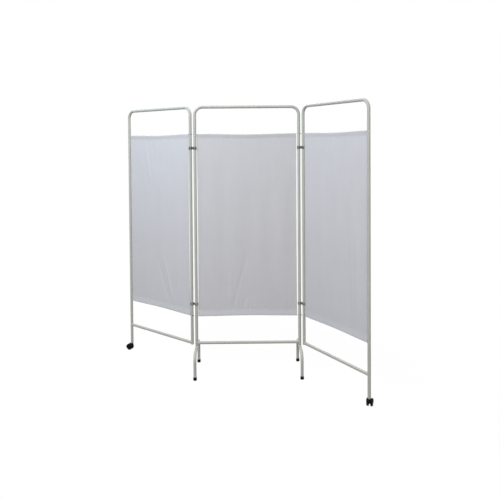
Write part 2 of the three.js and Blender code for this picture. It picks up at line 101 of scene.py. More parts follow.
# Turned profiles: each point is a radius and a height in millimetres
SPIGOT_FOOT = ((0, 0), (7.4, 0))
SPIGOT_HEAD = ((7.4, -2), (5.9, 0), (0, 0))
ROD_HEAD = ((0, 0), (4.2, 0), (4.2, 0.9), (3.2, 2.1), (0, 2.9))
ROD_CAP = ((0, 4), (2.3, 4), (2.3, 0), (4.8, 0), (4.8, 1), (3.8, 1), (3.8, 2.5), (2.3, 4.5), (0, 5))
PLUG_FLANGE = 1.4
TUBE_PLUG = (
    (0, 0), (8.2, 0), (9.2, 0.9), (9.2, PLUG_FLANGE), (7.6, PLUG_FLANGE), (7.6, 10.5), (6.1, 12), (0, 12),
)
SOCKET_FLANGE = 1.5
SOCKET = ((4.3, 0), (9.5, 0), (9.5, SOCKET_FLANGE), (7.6, SOCKET_FLANGE), (7.6, 28), (4.3, 28))
STEM_FOOT = ((0, 0), (2.4, 0), (3, 0.6))
STEM_COLLAR = ((3, 0), (7.4, 0), (7.4, 1.4), (4, 1.4))
STEM_HEAD = ((4, -1), (3.2, 0), (0, 0))
BOSS = ((0, -17), (8, -17), (8, -1.5), (6.5, 0), (0, 0))
BOLT_TIP = ((0, 0), (1.5, 0))
BOLT_THREAD = ((1.7, 0), (2, 0.35))
BOLT_SHANK = ((2, 0),)
BOLT_HEAD = ((2, 0), (3.6, 0), (3.6, 1.1), (2.808, 2), (1.08, 2.4), (0, 2.4))

# Turned profiles that fit a piece's own box: each point is a share of the radius and millimetres
# more, then a share of the height and millimetres more
TIP_GROOVE_SHARES = (0.42, 0.56, 0.70)
TIP_GROOVE = ((-0.2, -0.55), (-0.7, 0), (-0.2, 0.55))
FOOT_TIP = (
    (0, 0, 0, 0), (1, -1.6, 0, 0), (1, 0, 0, 1.6), (1, 0, 0.34, 0),
    *((1, out, share, rise) for share in TIP_GROOVE_SHARES for out, rise in TIP_GROOVE),
    (1, -0.6, 1, -1.4), (1, -1.1, 1, 0), (0, 9.8, 1, 0), (0, 9.8, 0, 6), (0, 0, 0, 6),
)
WHEEL = (
    (0, 0, 1, -2.4), (0, 3.35, 1, -2.4), (0, 3.35, 0, 0), (0, 6, 0, 0), (0, 6, 1, -2.6),
    (1, -3, 1, -2.6), (1, -3, 0, 0), (1, -1.1, 0, 0), (1, 0, 0, 1.1),
    (1, 0, 0.5, -0.5), (1, -0.45, 0.5, 0), (1, 0, 0.5, 0.5),
    (1, 0, 1, -2.2), (1, -2.2, 1, -0.7), (1, -4.2, 1, -0.7), (1, -4.8, 1, -1.3),
    (1, -6.2, 1, -1.3), (1, -6.8, 1, -0.7), (0, 9.2, 1, -0.7), (0, 8.5, 1, 0),
    (0, 2.2, 1, 0), (0, 1.6, 1, -0.5), (0, 0, 1, -0.5),
)

# Cloths
CLOTH_THICKNESS = 0.5 * MM
CLOTH_LAP = 1.15 * CLOTH_THICKNESS
HEM_CLOTH_SHARE = 0.9
HEM_LOOP = 3.0 * MM
HEM_ROWS = 4
HEM_LOOP_STEPS = 10
TOP_HEM = 27 * MM
BOTTOM_HEM = 37 * MM
SIDE_HEM = 26 * MM
SIDE_HEM_SHARES = (0, 0.3, 0.6, 0.8, 0.84, 0.88, 0.92, 0.96, 1.0, 1.1)
SIDE_FOLD_STEPS = 6
CLOTH_COLUMN = 6 * MM
CLOTH_ROW = 8 * MM
CLOTH_SHARP_DEGREES = 50

# Seams
SEAM_GROOVE = 0.25 * MM
SEAM_GROOVE_WIDTH = 1.6 * MM
SEAM_EASE = 4
STITCH_INSET = 3 * MM
STITCH_PITCH = 3.6 * MM
STITCH_LENGTH = 2.7 * MM
STITCH_RADIUS = 0.28 * MM
STITCH_SIDES = 5
STITCH_CROWN = 1.6
STITCH_TAPER_SHARE = 0.6

# How the cloths hang. A grain is how many patches of noise there are to a metre.
RIPPLE_DEPTH = 1.4 * MM
RIPPLE_LENGTH = 148 * MM
CALM_SHARE = 0.35
SWELLS = (
    {"across": 9, "down": 1.3, "seed_step": 0, "depth": 1.0 * MM},
    {"across": 34, "down": 2.6, "seed_step": 7, "depth": 0.28 * MM},
)
GATHER_DEPTH = 0.9 * MM
GATHER_GRAIN = 62
GATHER_SEED_STEP = 3
TOP_GATHER_REACH = 70 * MM
BOTTOM_GATHER_REACH = 95 * MM
PUCKER_SHARE = 0.5
PUCKER_GRAIN = 90
SEAM_PLACE_GRAIN = 10
FOLD_FADE_SHARE = 0.2

# Hinge clips
STRAP_THICKNESS = 1.5 * MM
STRAP_HEIGHT = 19 * MM
STRAP_EDGE = 0.45 * MM
STRAP_STEPS = 26
WAIST_HEIGHT = 16 * MM
WAIST_FILLET = 2 * MM
FILLET_STEPS = 7
TURN_GAP = 0.35 * MM
BOLT_TAIL = 4.2 * MM
THREAD_START = 0.4 * MM
THREAD_PITCH = 0.7 * MM
THREAD_TURNS = 7
NUT_CORNER = 4 * MM
NUT_HEIGHT = 3.2 * MM
NUT_CHAMFER = 0.45 * MM
NUT_FACE_RIM = 0.05 * MM
NUT_BORE = 2.3 * MM
NUT_SIDES = 48

# Castors
HOOD_GAP = 1.2 * MM
HOOD_THICKNESS = 2.3 * MM
HOOD_EDGE = 1.2 * MM
HOOD_HALF_WIDTH = 18 * MM
HOOD_REAR = math.radians(-15)
HOOD_FRONT = math.radians(150)
HOOD_STEPS = 40
WEB_OVERLAP = 1 * MM
WEB_HALF_WIDTH = 5 * MM
HUB_RADIUS = 8.3 * MM
CASTOR_VOXEL = 0.55 * MM
CASTOR_SHARP_DEGREES = 60
AXLE_RADIUS = 3 * MM
AXLE_SINK = 2.7 * MM
WHEEL_OFFSET = 5.6 * MM
WHEEL_WIDTH = 12 * MM

# Colours: where there are two, patches of noise mix them
PAINT_TONES = ((0.406, 0.401, 0.355), (0.442, 0.437, 0.388))
PAINT_DUST = (0.30, 0.295, 0.27)
CLOTH_TINT = (0.612, 0.589, 0.594)
CLOTH_TINT_SPREAD = 0.022
# Painted shade for the cloths' top hems and painted light for their bottom hems
HEM_SHADE = (0, 0, 0)
HEM_PAINTED_LIGHT = (0.80, 0.80, 0.84)
THREAD_TONES = ((0.66, 0.66, 0.68), (0.74, 0.74, 0.76))
RUBBER_TONES = ((0.003, 0.003, 0.003), (0.008, 0.008, 0.008))
RUBBER_DUST = (0.10, 0.095, 0.085)
CASTOR_TONES = ((0.002, 0.002, 0.0023), (0.005, 0.005, 0.0053))
WHEEL_TONES = ((0.002, 0.002, 0.0023), (0.004, 0.004, 0.0043))
PLUG_TONES = ((0.42, 0.425, 0.39), (0.48, 0.485, 0.45))
CLIP_TONES = ((0.08, 0.09, 0.098), (0.20, 0.21, 0.215))
# The lower clips are the same steel as the upper ones, painted lighter: a painted reflection
LOWER_CLIP_REFLECTION_TONES = ((0.15, 0.155, 0.145), (0.30, 0.30, 0.28))
CAP_TONES = ((0.40, 0.40, 0.37), (0.55, 0.55, 0.52))
ROD_TONES = ((0.42, 0.42, 0.42), (0.58, 0.58, 0.57))

# How finishes vary
MID_NOISE = (0.3, 0.7)
MOTTLE_SHARE = 0.6
WEAVE_SCALE = 62.5
TWIST_SCALE = 120
TRANSLUCENT_SHARE = 0.1
SEAM_BLUR = 4 * MM
TOP_HEM_SHADE_SHARE = 0.04

# Floor
FLOOR_REACH = 60
FLOOR_DROP = 0.2 * MM
FLOOR_FADE = (0.7, 1.7)
FLOOR_WHITE_SHARE = 0.94
FLOOR_GREY = (0.15, 0.15, 0.15)
FLOOR_PALE = (0.9, 0.9, 0.9)
WHITE = (1, 1, 1)

# The place and lens of the photograph's camera, seen from the middle of the centre panel
PICTURE_SIDE_PX = 500
FOCAL_LENGTH_PX = 591.8
AXIS_ROW_PX = 163.47
SENSOR_WIDTH_MM = 36
CAMERA_OFFSET = Vector((-5.5, -3767.4, 1436.7)) * MM
CAMERA_YAW = 0.0066
CAMERA_PITCH = 0.0282
CAMERA_ROLL = 0.0076
CAMERA_FAR_LIMIT = 200


# Places and spacing

def middle(node):
    low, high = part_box(node)
    return (low + high) / 2


def evenly(first, last, count):
    """The values from first to last, in count equal steps."""
    return [first + (last - first) * k / count for k in range(count + 1)]


def footprint(node):
    """The middle of a node's box, dropped to the floor."""
    spot = middle(node)
    spot.z = 0
    return spot


def framed(x_axis, y_axis, z_axis, origin):
    """The matrix of a frame with these axes and this origin."""
    matrix = Matrix((x_axis, y_axis, z_axis)).transposed().to_4x4()
    matrix.translation = origin
    return matrix


def facing(place, way):
    """The matrix of a frame at a place, its Z axis along a way."""
    return Matrix.Translation(place) @ way.to_track_quat("Z", "Y").to_matrix().to_4x4()


class Panel:
    """One panel's own frame: inner upright at x = 0, outer upright at x = width, +Z up."""

    def __init__(self, name, inner_node, outer_node, front):
        inner = footprint(inner_node)
        along = footprint(outer_node) - inner
        self.name = name
        self.body = name if name == "centre" else f"{name}_panel"
        self.width = along.length
        self.front = front
        along.normalize()
        self.matrix = framed(along, Z_AXIS.cross(along), Z_AXIS, inner)
        self.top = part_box(f"{name}_frame")[1].z - TUBE_RADIUS
        self.rail_height = middle(f"{name}_cross_rail").z
        self.top_rod = middle(f"{name}_top_rod_cap").z
        self.bottom_rod = middle(f"{name}_bottom_rod_cap").z
        self.ends = ((0, 1), (self.width, -1))


centre = Panel("centre", "left_foot_hoop", "right_foot_hoop", -1)
left = Panel("left", "left_tube_plug", "left_castor_stem", 1)
right = Panel("right", "right_tube_plug", "right_castor_stem", -1)
base = (footprint("left_foot_hoop") + footprint("right_foot_hoop")) / 2


# Camera

def new_object(name, data):
    made = bpy.data.objects.new(name, data)
    bpy.context.scene.collection.objects.link(made)
    return made


def make_camera():
    data = bpy.data.cameras.new("camera")
    camera = new_object("camera", data)
    bpy.context.scene.camera = camera
    data.sensor_width = SENSOR_WIDTH_MM
    data.lens = SENSOR_WIDTH_MM * FOCAL_LENGTH_PX / PICTURE_SIDE_PX
    data.shift_y = (AXIS_ROW_PX - PICTURE_SIDE_PX / 2) / PICTURE_SIDE_PX
    data.clip_end = CAMERA_FAR_LIMIT
    forward = Vector((
        math.sin(CAMERA_YAW) * math.cos(CAMERA_PITCH),
        math.cos(CAMERA_YAW) * math.cos(CAMERA_PITCH),
        -math.sin(CAMERA_PITCH),
    ))
    level = Vector((math.cos(CAMERA_YAW), -math.sin(CAMERA_YAW), 0))
    down = forward.cross(level)
    side = math.cos(CAMERA_ROLL) * level + math.sin(CAMERA_ROLL) * down
    lower = math.cos(CAMERA_ROLL) * down - math.sin(CAMERA_ROLL) * level
    camera.matrix_world = framed(side, -lower, -forward, base + CAMERA_OFFSET)


make_camera()


# Finishes

class Nodes:
    """A tree of shader nodes. Wherever a value is taken, another node's output may stand for it."""

    def __init__(self, tree):
        self.tree = tree

    def feed(self, socket, value):
        if isinstance(value, bpy.types.NodeSocket):
            self.tree.links.new(value, socket)
        else:
            socket.default_value = value

    def node(self, kind, inputs=None, **settings):
        made = self.tree.nodes.new(f"ShaderNode{kind}")
        for key, value in settings.items():
            setattr(made, key, value)
        for key, value in (inputs or {}).items():
            self.feed(made.inputs[key], value)
        return made

    def math(self, operation, first, second):
        return self.node("Math", {0: first, 1: second}, operation=operation).outputs[0]

    def ranged(self, value, source=MID_NOISE, target=(0, 1), **settings):
        """A value's source range carried over to a target range, and held there beyond its ends."""
        ends = zip(("From Min", "From Max", "To Min", "To Max"), (*source, *target))
        return self.node("MapRange", {"Value": value, **dict(ends)}, **settings).outputs["Result"]

    def mixed(self, share, first, second):
        return self.node("MixShader", {0: share, 1: first, 2: second}).outputs[0]


class Finish(Nodes):
    """A material, with the record's slot that it belongs to."""

    def __init__(self, name, slot, **sockets):
        self.slot = slot
        self.material = bpy.data.materials.new(name)
        self.material.use_nodes = True
        super().__init__(self.material.node_tree)
        self.shader = self.tree.nodes["Principled BSDF"]
        for socket, value in sockets.items():
            self.give(socket.replace("_", " "), value)
        self.place = self.node("TexCoord").outputs["Object"]

    def give(self, socket, value):
        self.feed(self.shader.inputs[socket], value)

    def height(self):
        return self.node("SeparateXYZ", {"Vector": self.place}).outputs["Z"]

    def cloudy(self, size, detail=3, roughness=0.5, scale=(1, 1, 1)):
        """Noise from 0 to 1 whose patches are about size across, with a scale for each axis."""
        place = self.node("Mapping", {"Vector": self.place, "Scale": scale}).outputs["Vector"]
        inputs = {"Vector": place, "Scale": 1 / size, "Detail": detail, "Roughness": roughness}
        return self.node("TexNoise", inputs).outputs["Fac"]

    def banded(self, scale, distortion, direction, **inputs):
        inputs.update(Vector=self.place, Scale=scale, Distortion=distortion)
        return self.node("TexWave", inputs, bands_direction=direction).outputs["Fac"]

    def blended(self, share, first, second):
        """Two colours mixed. A Mix node's sockets for colours are inputs 6 and 7 and output 2."""
        colours = [c if isinstance(c, bpy.types.NodeSocket) else (*c, 1) for c in (first, second)]
        inputs = {0: share, 6: colours[0], 7: colours[1]}
        return self.node("Mix", inputs, data_type="RGBA").outputs[2]

    def toned(self, patches, tones, source=MID_NOISE):
        return self.blended(self.ranged(patches, source), *tones)

    def grained(self, height, depth, strength):
        bump = self.node("Bump", {"Height": height, "Distance": depth, "Strength": strength})
        self.give("Normal", bump.outputs["Normal"])


def paint_finish():
    """Ivory powder coat: a fine orange peel, slightly uneven gloss, scuffs and dust near the floor."""
    paint = Finish("frame_paint", "frame_paint", Coat_Weight=0.12, Coat_Roughness=0.2, IOR=1.45)
    clean = paint.toned(paint.cloudy(size=120 * MM, detail=4), PAINT_TONES)
    scuffs = paint.cloudy(size=4 * MM, detail=6, roughness=0.7, scale=(1, 1, 0.25))
    worn = paint.ranged(scuffs, source=(0.66, 0.74), target=(0, 0.5))
    low_down = paint.ranged(paint.height(), source=(0, 220 * MM), target=(1, 0))
    paint.give("Base Color", paint.blended(paint.math("MULTIPLY", worn, low_down), clean, PAINT_DUST))
    paint.give("Roughness", paint.ranged(paint.cloudy(size=30 * MM), target=(0.34, 0.48)))
    paint.grained(paint.cloudy(size=1.6 * MM, detail=2), depth=0.05 * MM, strength=0.5)
    return paint


def cloth_finish(name, hem_painted_light_share):
    """Plain-woven polyester cotton: slack threads both ways, soft mottling, and some light let through.

    The top hem is painted a little darker (painted shade) and the bottom hem a little paler (painted
    light), for how light falls on a doubled cloth.
    """
    weave = Finish(name, "cloth", Roughness=0.85, Sheen_Weight=0.15, Sheen_Roughness=0.5, IOR=1.4)
    mottle = weave.cloudy(size=90 * MM, detail=5, roughness=0.55, scale=(1, 1, 0.5))
    slubs = weave.cloudy(size=12 * MM, scale=(1, 1, 0.06))
    weighed = [
        weave.math("MULTIPLY", noise_value, share)
        for noise_value, share in ((mottle, MOTTLE_SHARE), (slubs, 1 - MOTTLE_SHARE))
    ]
    tones = [
        [channel * (1 + change) for channel in CLOTH_TINT]
        for change in (-CLOTH_TINT_SPREAD, CLOTH_TINT_SPREAD)
    ]
    colour = weave.toned(weave.math("ADD", *weighed), tones, source=(0.32, 0.68))
    height = weave.height()
    # Painted shade darkens the top hem and painted light brightens the bottom hem, blended in by height
    for seam, shares, tone in (
        (centre.top_rod + HEM_LOOP - TOP_HEM - TOP_SAG / 2, (0, TOP_HEM_SHADE_SHARE), HEM_SHADE),
        (centre.bottom_rod - HEM_LOOP + BOTTOM_HEM + BOTTOM_RISE / 2, (hem_painted_light_share, 0), HEM_PAINTED_LIGHT),
    ):
        in_hem = weave.ranged(height, (seam - SEAM_BLUR, seam + SEAM_BLUR), shares)
        colour = weave.blended(in_hem, colour, tone)
    weave.give("Base Color", colour)
    threads = [weave.banded(WEAVE_SCALE, distortion=0.6, direction=axis, Detail=1) for axis in ("X", "Z")]
    weave.grained(weave.math("ADD", *threads), depth=0.08 * MM, strength=0.35)
    through = weave.node("BsdfTranslucent", {"Color": colour}).outputs["BSDF"]
    surface = weave.mixed(TRANSLUCENT_SHARE, weave.shader.outputs["BSDF"], through)
    weave.feed(weave.tree.nodes["Material Output"].inputs["Surface"], surface)
    return weave


def thread_finish():
    """Sewing thread, a little whiter than the cloth, with its twist."""
    thread = Finish("sewing_thread", "cloth", Roughness=0.6, Sheen_Weight=0.2)
    thread.give("Base Color", thread.blended(thread.cloudy(size=2 * MM), *THREAD_TONES))
    twist = thread.banded(TWIST_SCALE, distortion=0.3, direction="DIAGONAL")
    thread.grained(twist, depth=0.05 * MM, strength=0.5)
    return thread


def rubber_finish():
    """Black rubber with a matt bloom and dust where it meets the floor."""
    rubber = Finish("foot_rubber", "foot_rubber", Specular_IOR_Level=0.06)
    bloom = rubber.cloudy(size=6 * MM, detail=5, roughness=0.65)
    low_down = rubber.ranged(rubber.height(), source=(0, 6 * MM), target=(0.5, 0))
    clean = rubber.toned(bloom, RUBBER_TONES, source=(0.35, 0.7))
    rubber.give("Base Color", rubber.blended(rubber.math("MULTIPLY", low_down, bloom), clean, RUBBER_DUST))
    rubber.give("Roughness", rubber.ranged(bloom, target=(0.62, 0.85)))
    rubber.grained(rubber.cloudy(size=0.8 * MM), depth=0.04 * MM, strength=0.5)
    return rubber


def plastic_finish(slot, tones, grain, gloss, specular=0.5):
    """Moulded plastic: a fine spark grain, a faint flow pattern and uneven gloss."""
    plastic = Finish(slot, slot, Specular_IOR_Level=specular)
    flow = plastic.cloudy(size=15 * MM)
    plastic.give("Base Color", plastic.toned(flow, tones))
    plastic.give("Roughness", plastic.ranged(flow, target=gloss))
    plastic.grained(plastic.cloudy(size=grain), depth=0.03 * MM, strength=0.5)
    return plastic


def metal_finish(name, slot, tones, gloss, drawn=(1, 1, 0.05)):
    """Metal with drawing lines one way and small dull patches."""
    metal = Finish(name, slot, Metallic=1.0)
    patches = metal.cloudy(size=8 * MM, detail=5, roughness=0.6)
    metal.give("Base Color", metal.toned(patches, tones))
    metal.give("Roughness", metal.ranged(patches, target=gloss))
    metal.grained(metal.cloudy(size=0.6 * MM, detail=2, scale=drawn), depth=0.02 * MM, strength=0.6)
    return metal


PAINT = paint_finish()
CLOTH = cloth_finish("cloth", hem_painted_light_share=0.10)
SIDE_CLOTH = cloth_finish("side_cloth", hem_painted_light_share=0.035)
THREAD = thread_finish()
RUBBER = rubber_finish()
CASTOR_BLACK = plastic_finish(
    "castor_plastic", CASTOR_TONES, grain=0.7 * MM, gloss=(0.34, 0.46), specular=0.08
)
WHEEL_BLACK = plastic_finish(
    "wheel_plastic", WHEEL_TONES, grain=0.9 * MM, gloss=(0.42, 0.54), specular=0.06
)
PLUG_GREY = plastic_finish("plug_plastic", PLUG_TONES, grain=0.8 * MM, gloss=(0.48, 0.60))
CLIP_STEEL = metal_finish("clip_steel", "clip_steel", CLIP_TONES, gloss=(0.22, 0.40))
# A lighter copy of the clip steel: a painted reflection on the lower clips
LOWER_CLIP_PAINTED_REFLECTION = metal_finish("lower_clip_painted_reflection", "clip_steel", LOWER_CLIP_REFLECTION_TONES, gloss=(0.26, 0.44))
CAP_STEEL = metal_finish("cap_steel", "clip_steel", CAP_TONES, gloss=(0.30, 0.48))
ROD_STEEL = metal_finish("rod_steel", "rod_steel", ROD_TONES, gloss=(0.26, 0.44), drawn=(0.03, 1, 1))


# Profiles and rings

def raised(profile, height=0):
    """A profile given in millimetres as one in metres, raised by a height."""
    return [(radius * MM, height + rise * MM) for radius, rise in profile]


def fitted(profile, radius, height):
    """A profile that is given by shares of a radius and a height, with millimetres added."""
    return [(radius * a + out * MM, height * b + rise * MM) for a, out, b, rise in profile]


def softened(profile, radius, steps=3, closed=False):
    """A profile with its corners rounded by at most radius."""
    reach_share = 0.45
    count = len(profile)
    out = []
    for i in range(count):
        if not closed and i in (0, count - 1):
            out.append(profile[i])
            continue
        corner = Vector(profile[i])
        before = Vector(profile[i - 1]) - corner
        after = Vector(profile[(i + 1) % count]) - corner
        reach = min(radius, reach_share * before.length, reach_share * after.length)
        start = corner + before.normalized() * reach
        end = corner + after.normalized() * reach
        for t in evenly(0, 1, steps):
            p = start * (1 - t) ** 2 + corner * (2 * t * (1 - t)) + end * t ** 2
            out.append((p.x, p.y))
    return out


def circle(sides):
    """The cosine and sine of the turn to each corner of a polygon."""
    turns = [FULL_TURN * k / sides for k in range(sides)]
    return [(math.cos(turn), math.sin(turn)) for turn in turns]


def ring_at(point, side, lift, radius, sides):
    """A ring round a point, in the plane of two directions."""
    return [point + radius * (c * side + s * lift) for c, s in circle(sides)]


def round_ring(station, across, radius, sides):
    """A ring round a station; across is the direction square to the path's plane."""
    point, direction = station
    return ring_at(point, direction.cross(across), across, radius, sides)


# Parts of pieces, each as points and faces

def placed(part, matrix):
    points, faces = part
    return [matrix @ Vector(p) for p in points], faces


def skin(rings, looped=False):
    """Quads between rings of points; the two ends are filled, or joined where it is looped."""
    count = len(rings[0])
    starts = [i * count for i in range(len(rings))]
    spans = zip(starts, starts[1:] + starts[:1] if looped else starts[1:])
    corners = [(k, (k + 1) % count) for k in range(count)]
    faces = [(a + k, a + n, b + n, b + k) for a, b in spans for k, n in corners]
    if not looped:
        faces += [tuple(reversed(range(count))), tuple(range(starts[-1], starts[-1] + count))]
    return [p for ring in rings for p in ring], faces


def turned(profile, sides):
    """A turned solid about Z from (radius, height) points that start and end on the axis."""
    points, rounds = [], []
    for radius, height in profile:
        first = len(points)
        points += [(radius * c, radius * s, height) for c, s in (circle(sides) if radius else [(0, 0)])]
        rounds.append(range(first, len(points)))
    faces = []
    for below, above in zip(rounds, rounds[1:]):
        for k in range(sides):
            n = (k + 1) % sides
            lower = (below[k], below[n]) if len(below) > 1 else (below[0],)
            upper = (above[n], above[k]) if len(above) > 1 else (above[0],)
            if len(lower + upper) > 2:
                faces.append(lower + upper)
    return points, faces


def lathed(profile, soft, sides, steps=3):
    """A part turned from a profile whose corners are softened."""
    return turned(softened(profile, soft, steps), sides)


def sleeve(profile, sides):
    """A turned solid whose closed profile stays clear of the axis."""
    rings = [[(radius * c, radius * s, z) for c, s in circle(sides)] for radius, z in profile]
    return skin(rings, looped=True)


def bent_run(corners, radius):
    """Points and directions along straight runs, with each inner corner rounded to one radius."""
    directions = [(b - a).normalized() for a, b in zip(corners, corners[1:])]
    stations = [(corners[0], directions[0])]
    for corner, before, after in zip(corners[1:], directions, directions[1:]):
        turn = before.angle(after)
        axis = before.cross(after).normalized()
        inward = axis.cross(before)
        bend_centre = corner - before * radius * math.tan(turn / 2) + inward * radius
        for angle in evenly(0, turn, BEND_STEPS):
            spin = Matrix.Rotation(angle, 3, axis)
            stations.append((bend_centre - (spin @ inward) * radius, spin @ before))
    stations.append((corners[-1], directions[-1]))
    return stations


def tube(stations, across, shape_end=None):
    """A length of the tube along stations; shape_end may move the points of its end rings."""
    outside = [round_ring(s, across, TUBE_RADIUS, TUBE_SIDES) for s in stations]
    inside = [round_ring(s, across, TUBE_BORE, TUBE_SIDES) for s in reversed(stations)]
    if shape_end is not None:
        for ring in (outside[0], outside[-1], inside[0], inside[-1]):
            ring[:] = [shape_end(p) for p in ring]
    return skin(outside + inside, looped=True)


def weld_bead(path):
    """A weld along a closed path of points, thicker and thinner as the passes overlap."""
    rings = []
    count = len(path)
    for i, point in enumerate(path):
        direction = (path[(i + 1) % count] - path[i - 1]).normalized()
        if abs(direction.z) < UPRIGHT_SHARE:
            side = direction.cross(Z_AXIS).normalized()
        else:
            side = direction.orthogonal().normalized()
        swell = 1 + WELD_WAVE_SHARE * (math.cos(FULL_TURN * WELD_SCALLOPS * i / count) - 1)
        rings.append(ring_at(point, side, direction.cross(side), WELD_RADIUS * swell, WELD_SIDES))
    return skin(rings, looped=True)


# Pieces

def apply_modifiers(obj, modifiers):
    """Gives a piece the mesh that these modifiers, as (kind, settings), make of it."""
    for kind, settings in modifiers:
        modifier = obj.modifiers.new(kind.lower(), kind)
        for key, value in settings.items():
            setattr(modifier, key, value)
    bpy.context.view_layer.update()
    graph = bpy.context.evaluated_depsgraph_get()
    mesh = bpy.data.meshes.new_from_object(obj.evaluated_get(graph))
    old = obj.data
    obj.modifiers.clear()
    obj.data = mesh
    bpy.data.meshes.remove(old)


def loose_object(name, parts, matrix=None):
    points, faces = [], []
    for part_points, part_faces in parts:
        faces += [[len(points) + i for i in face] for face in part_faces]
        points += [tuple(p) for p in part_points]
    mesh = bpy.data.meshes.new(name)
    mesh.from_pydata(points, [], faces)
    shape = bmesh.new()
    shape.from_mesh(mesh)
    bmesh.ops.recalc_face_normals(shape, faces=shape.faces)
    shape.to_mesh(mesh)
    shape.free()
    obj = new_object(name, mesh)
    if matrix is not None:
        obj.matrix_world = matrix
    return obj


def piece(name, parts, finish, body, matrix=None, nodes=(), sharp=SHARP_DEGREES, modifiers=()):
    """A finished piece that rides on a body and may stand for CAD nodes."""
    obj = loose_object(name, parts, matrix)
    if modifiers:
        apply_modifiers(obj, modifiers)
    mesh = obj.data
    mesh.polygons.foreach_set("use_smooth", [True] * len(mesh.polygons))
    mesh.set_sharp_from_angle(angle=math.radians(sharp))
    mesh.materials.clear()
    mesh.materials.append(finish.material)
    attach(obj, body)
    if nodes:
        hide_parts(*nodes)
    return obj


def dressed(node, kind, parts, finish, body, matrix=None, **settings):
    """A piece that stands for one CAD node and is named after it."""
    return piece(f"{node}_{kind}", parts, finish, body, matrix, [node], **settings)


def drilled(obj, holes, radius):
    """Cuts round holes, given as (start, end) points."""
    cutters = []
    for start, end in holes:
        way = end - start
        profile = [(0, 0), (radius, 0), (radius, way.length), (0, way.length)]
        cutter = loose_object("cutter", [placed(turned(profile, DRILL_SIDES), facing(start, way))])
        cutter.matrix_world = obj.matrix_world
        cutters.append(cutter)
    apply_modifiers(
        obj, [("BOOLEAN", {"object": c, "operation": "DIFFERENCE", "solver": "EXACT"}) for c in cutters]
    )
    for cutter in cutters:
        bpy.data.objects.remove(cutter)


# Frames and cross rails

def sag_share(x, width):
    """Nought at both uprights' faces, one halfway between them."""
    share = (x - TUBE_RADIUS) / (width - 2 * TUBE_RADIUS)
    return (1 - math.cos(FULL_TURN * min(max(share, 0), 1))) / 2


def stake_holes(panel):
    """Holes round an outer upright's foot, where its wall is staked to the castor's sleeve."""
    axis = Vector((panel.width, 0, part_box(f"{panel.name}_castor_socket")[0].z + STAKE_RISE))
    holes = []
    for k in range(STAKE_COUNT):
        angle = math.radians(STAKE_TURNS[panel.name]) + FULL_TURN * k / STAKE_COUNT
        way = Vector((math.cos(angle), math.sin(angle), 0))
        holes.append((axis + way * TUBE_BORE / 2, axis + way * 2 * TUBE_RADIUS))
    return holes


def make_frame(panel, start_height, end_height, shape_end=None):
    corners = [
        Vector((0, 0, start_height)),
        Vector((0, 0, panel.top)),
        Vector((panel.width, 0, panel.top)),
        Vector((panel.width, 0, end_height)),
    ]
    stations = bent_run(corners, CORNER_RADIUS)
    rods = (panel.bottom_rod, panel.top_rod)
    near = 3 * ROD_RADIUS
    rings = sorted(height + near * side for height in rods for side in (-1, 1))
    rise = [(Vector((0, 0, height)), Z_AXIS) for height in rings]
    fall = [(Vector((panel.width, 0, height)), -Z_AXIS) for height in reversed(rings)]
    stations = [stations[0], *rise, *stations[1:-1], *fall, stations[-1]]
    parts = [tube(stations, Y_AXIS, shape_end)]
    obj = dressed(f"{panel.name}_frame", "tube", parts, PAINT, panel.body, panel.matrix)
    reach = 2 * TUBE_RADIUS
    holes = [(Vector((-reach, 0, height)), Vector((panel.width + reach, 0, height))) for height in rods]
    drilled(obj, holes, ROD_HOLE)
    if panel.name in STAKE_TURNS:
        drilled(obj, stake_holes(panel), STAKE_RADIUS)
    obj.data.set_sharp_from_angle(angle=math.radians(SHARP_DEGREES))


def make_cross_rail(panel):
    """The rail, its ends shaped to sit on the uprights, with a weld round each end."""

    def end_ring(end, radius, spread, sides):
        """A ring round the rail's end, as far from the upright's axis as spread says for each point."""
        upright, sign = end
        return [
            Vector((upright + sign * spread(c, s), radius * c, panel.rail_height + radius * s))
            for c, s in circle(sides)
        ]

    def seat(radius):
        return lambda c, s: math.sqrt((TUBE_RADIUS + RAIL_GAP) ** 2 - (radius * c) ** 2)

    first, last = panel.ends
    order = ((first, TUBE_RADIUS), (last, TUBE_RADIUS), (last, TUBE_BORE), (first, TUBE_BORE))
    rings = [end_ring(end, radius, seat(radius), TUBE_SIDES) for end, radius in order]
    parts = [skin(rings, looped=True)]
    for end in panel.ends:
        path = end_ring(
            end, TUBE_RADIUS - WELD_SINK, lambda c, s: math.hypot(TUBE_RADIUS * s, WELD_RADIUS), WELD_STEPS
        )
        parts.append(weld_bead(path))
    dressed(f"{panel.name}_cross_rail", "tube", parts, PAINT, panel.body, panel.matrix)


crown_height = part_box("left_foot_hoop")[1].z - SPIGOT_LENGTH


def saddle(p):
    """A centre upright's lower end follows the crown of its hoop."""
    off = min(abs(p.x), abs(p.x - centre.width))
    seat = math.sqrt(max((TUBE_RADIUS + FIT_GAP) ** 2 - off ** 2, 0))
    return Vector((p.x, p.y, crown_height + max(seat, SADDLE_DEPTH)))


make_frame(centre, crown_height + SADDLE_DEPTH, crown_height + SADDLE_DEPTH, saddle)
for side_panel in (left, right):
    inner_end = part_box(f"{side_panel.name}_tube_plug")[0].z + PLUG_FLANGE * MM + FIT_GAP
    outer_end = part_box(f"{side_panel.name}_castor_socket")[0].z + SOCKET_FLANGE * MM + FIT_GAP
    make_frame(side_panel, inner_end, outer_end)
for panel in (centre, left, right):
    make_cross_rail(panel)


# Foot hoops and rubber tips

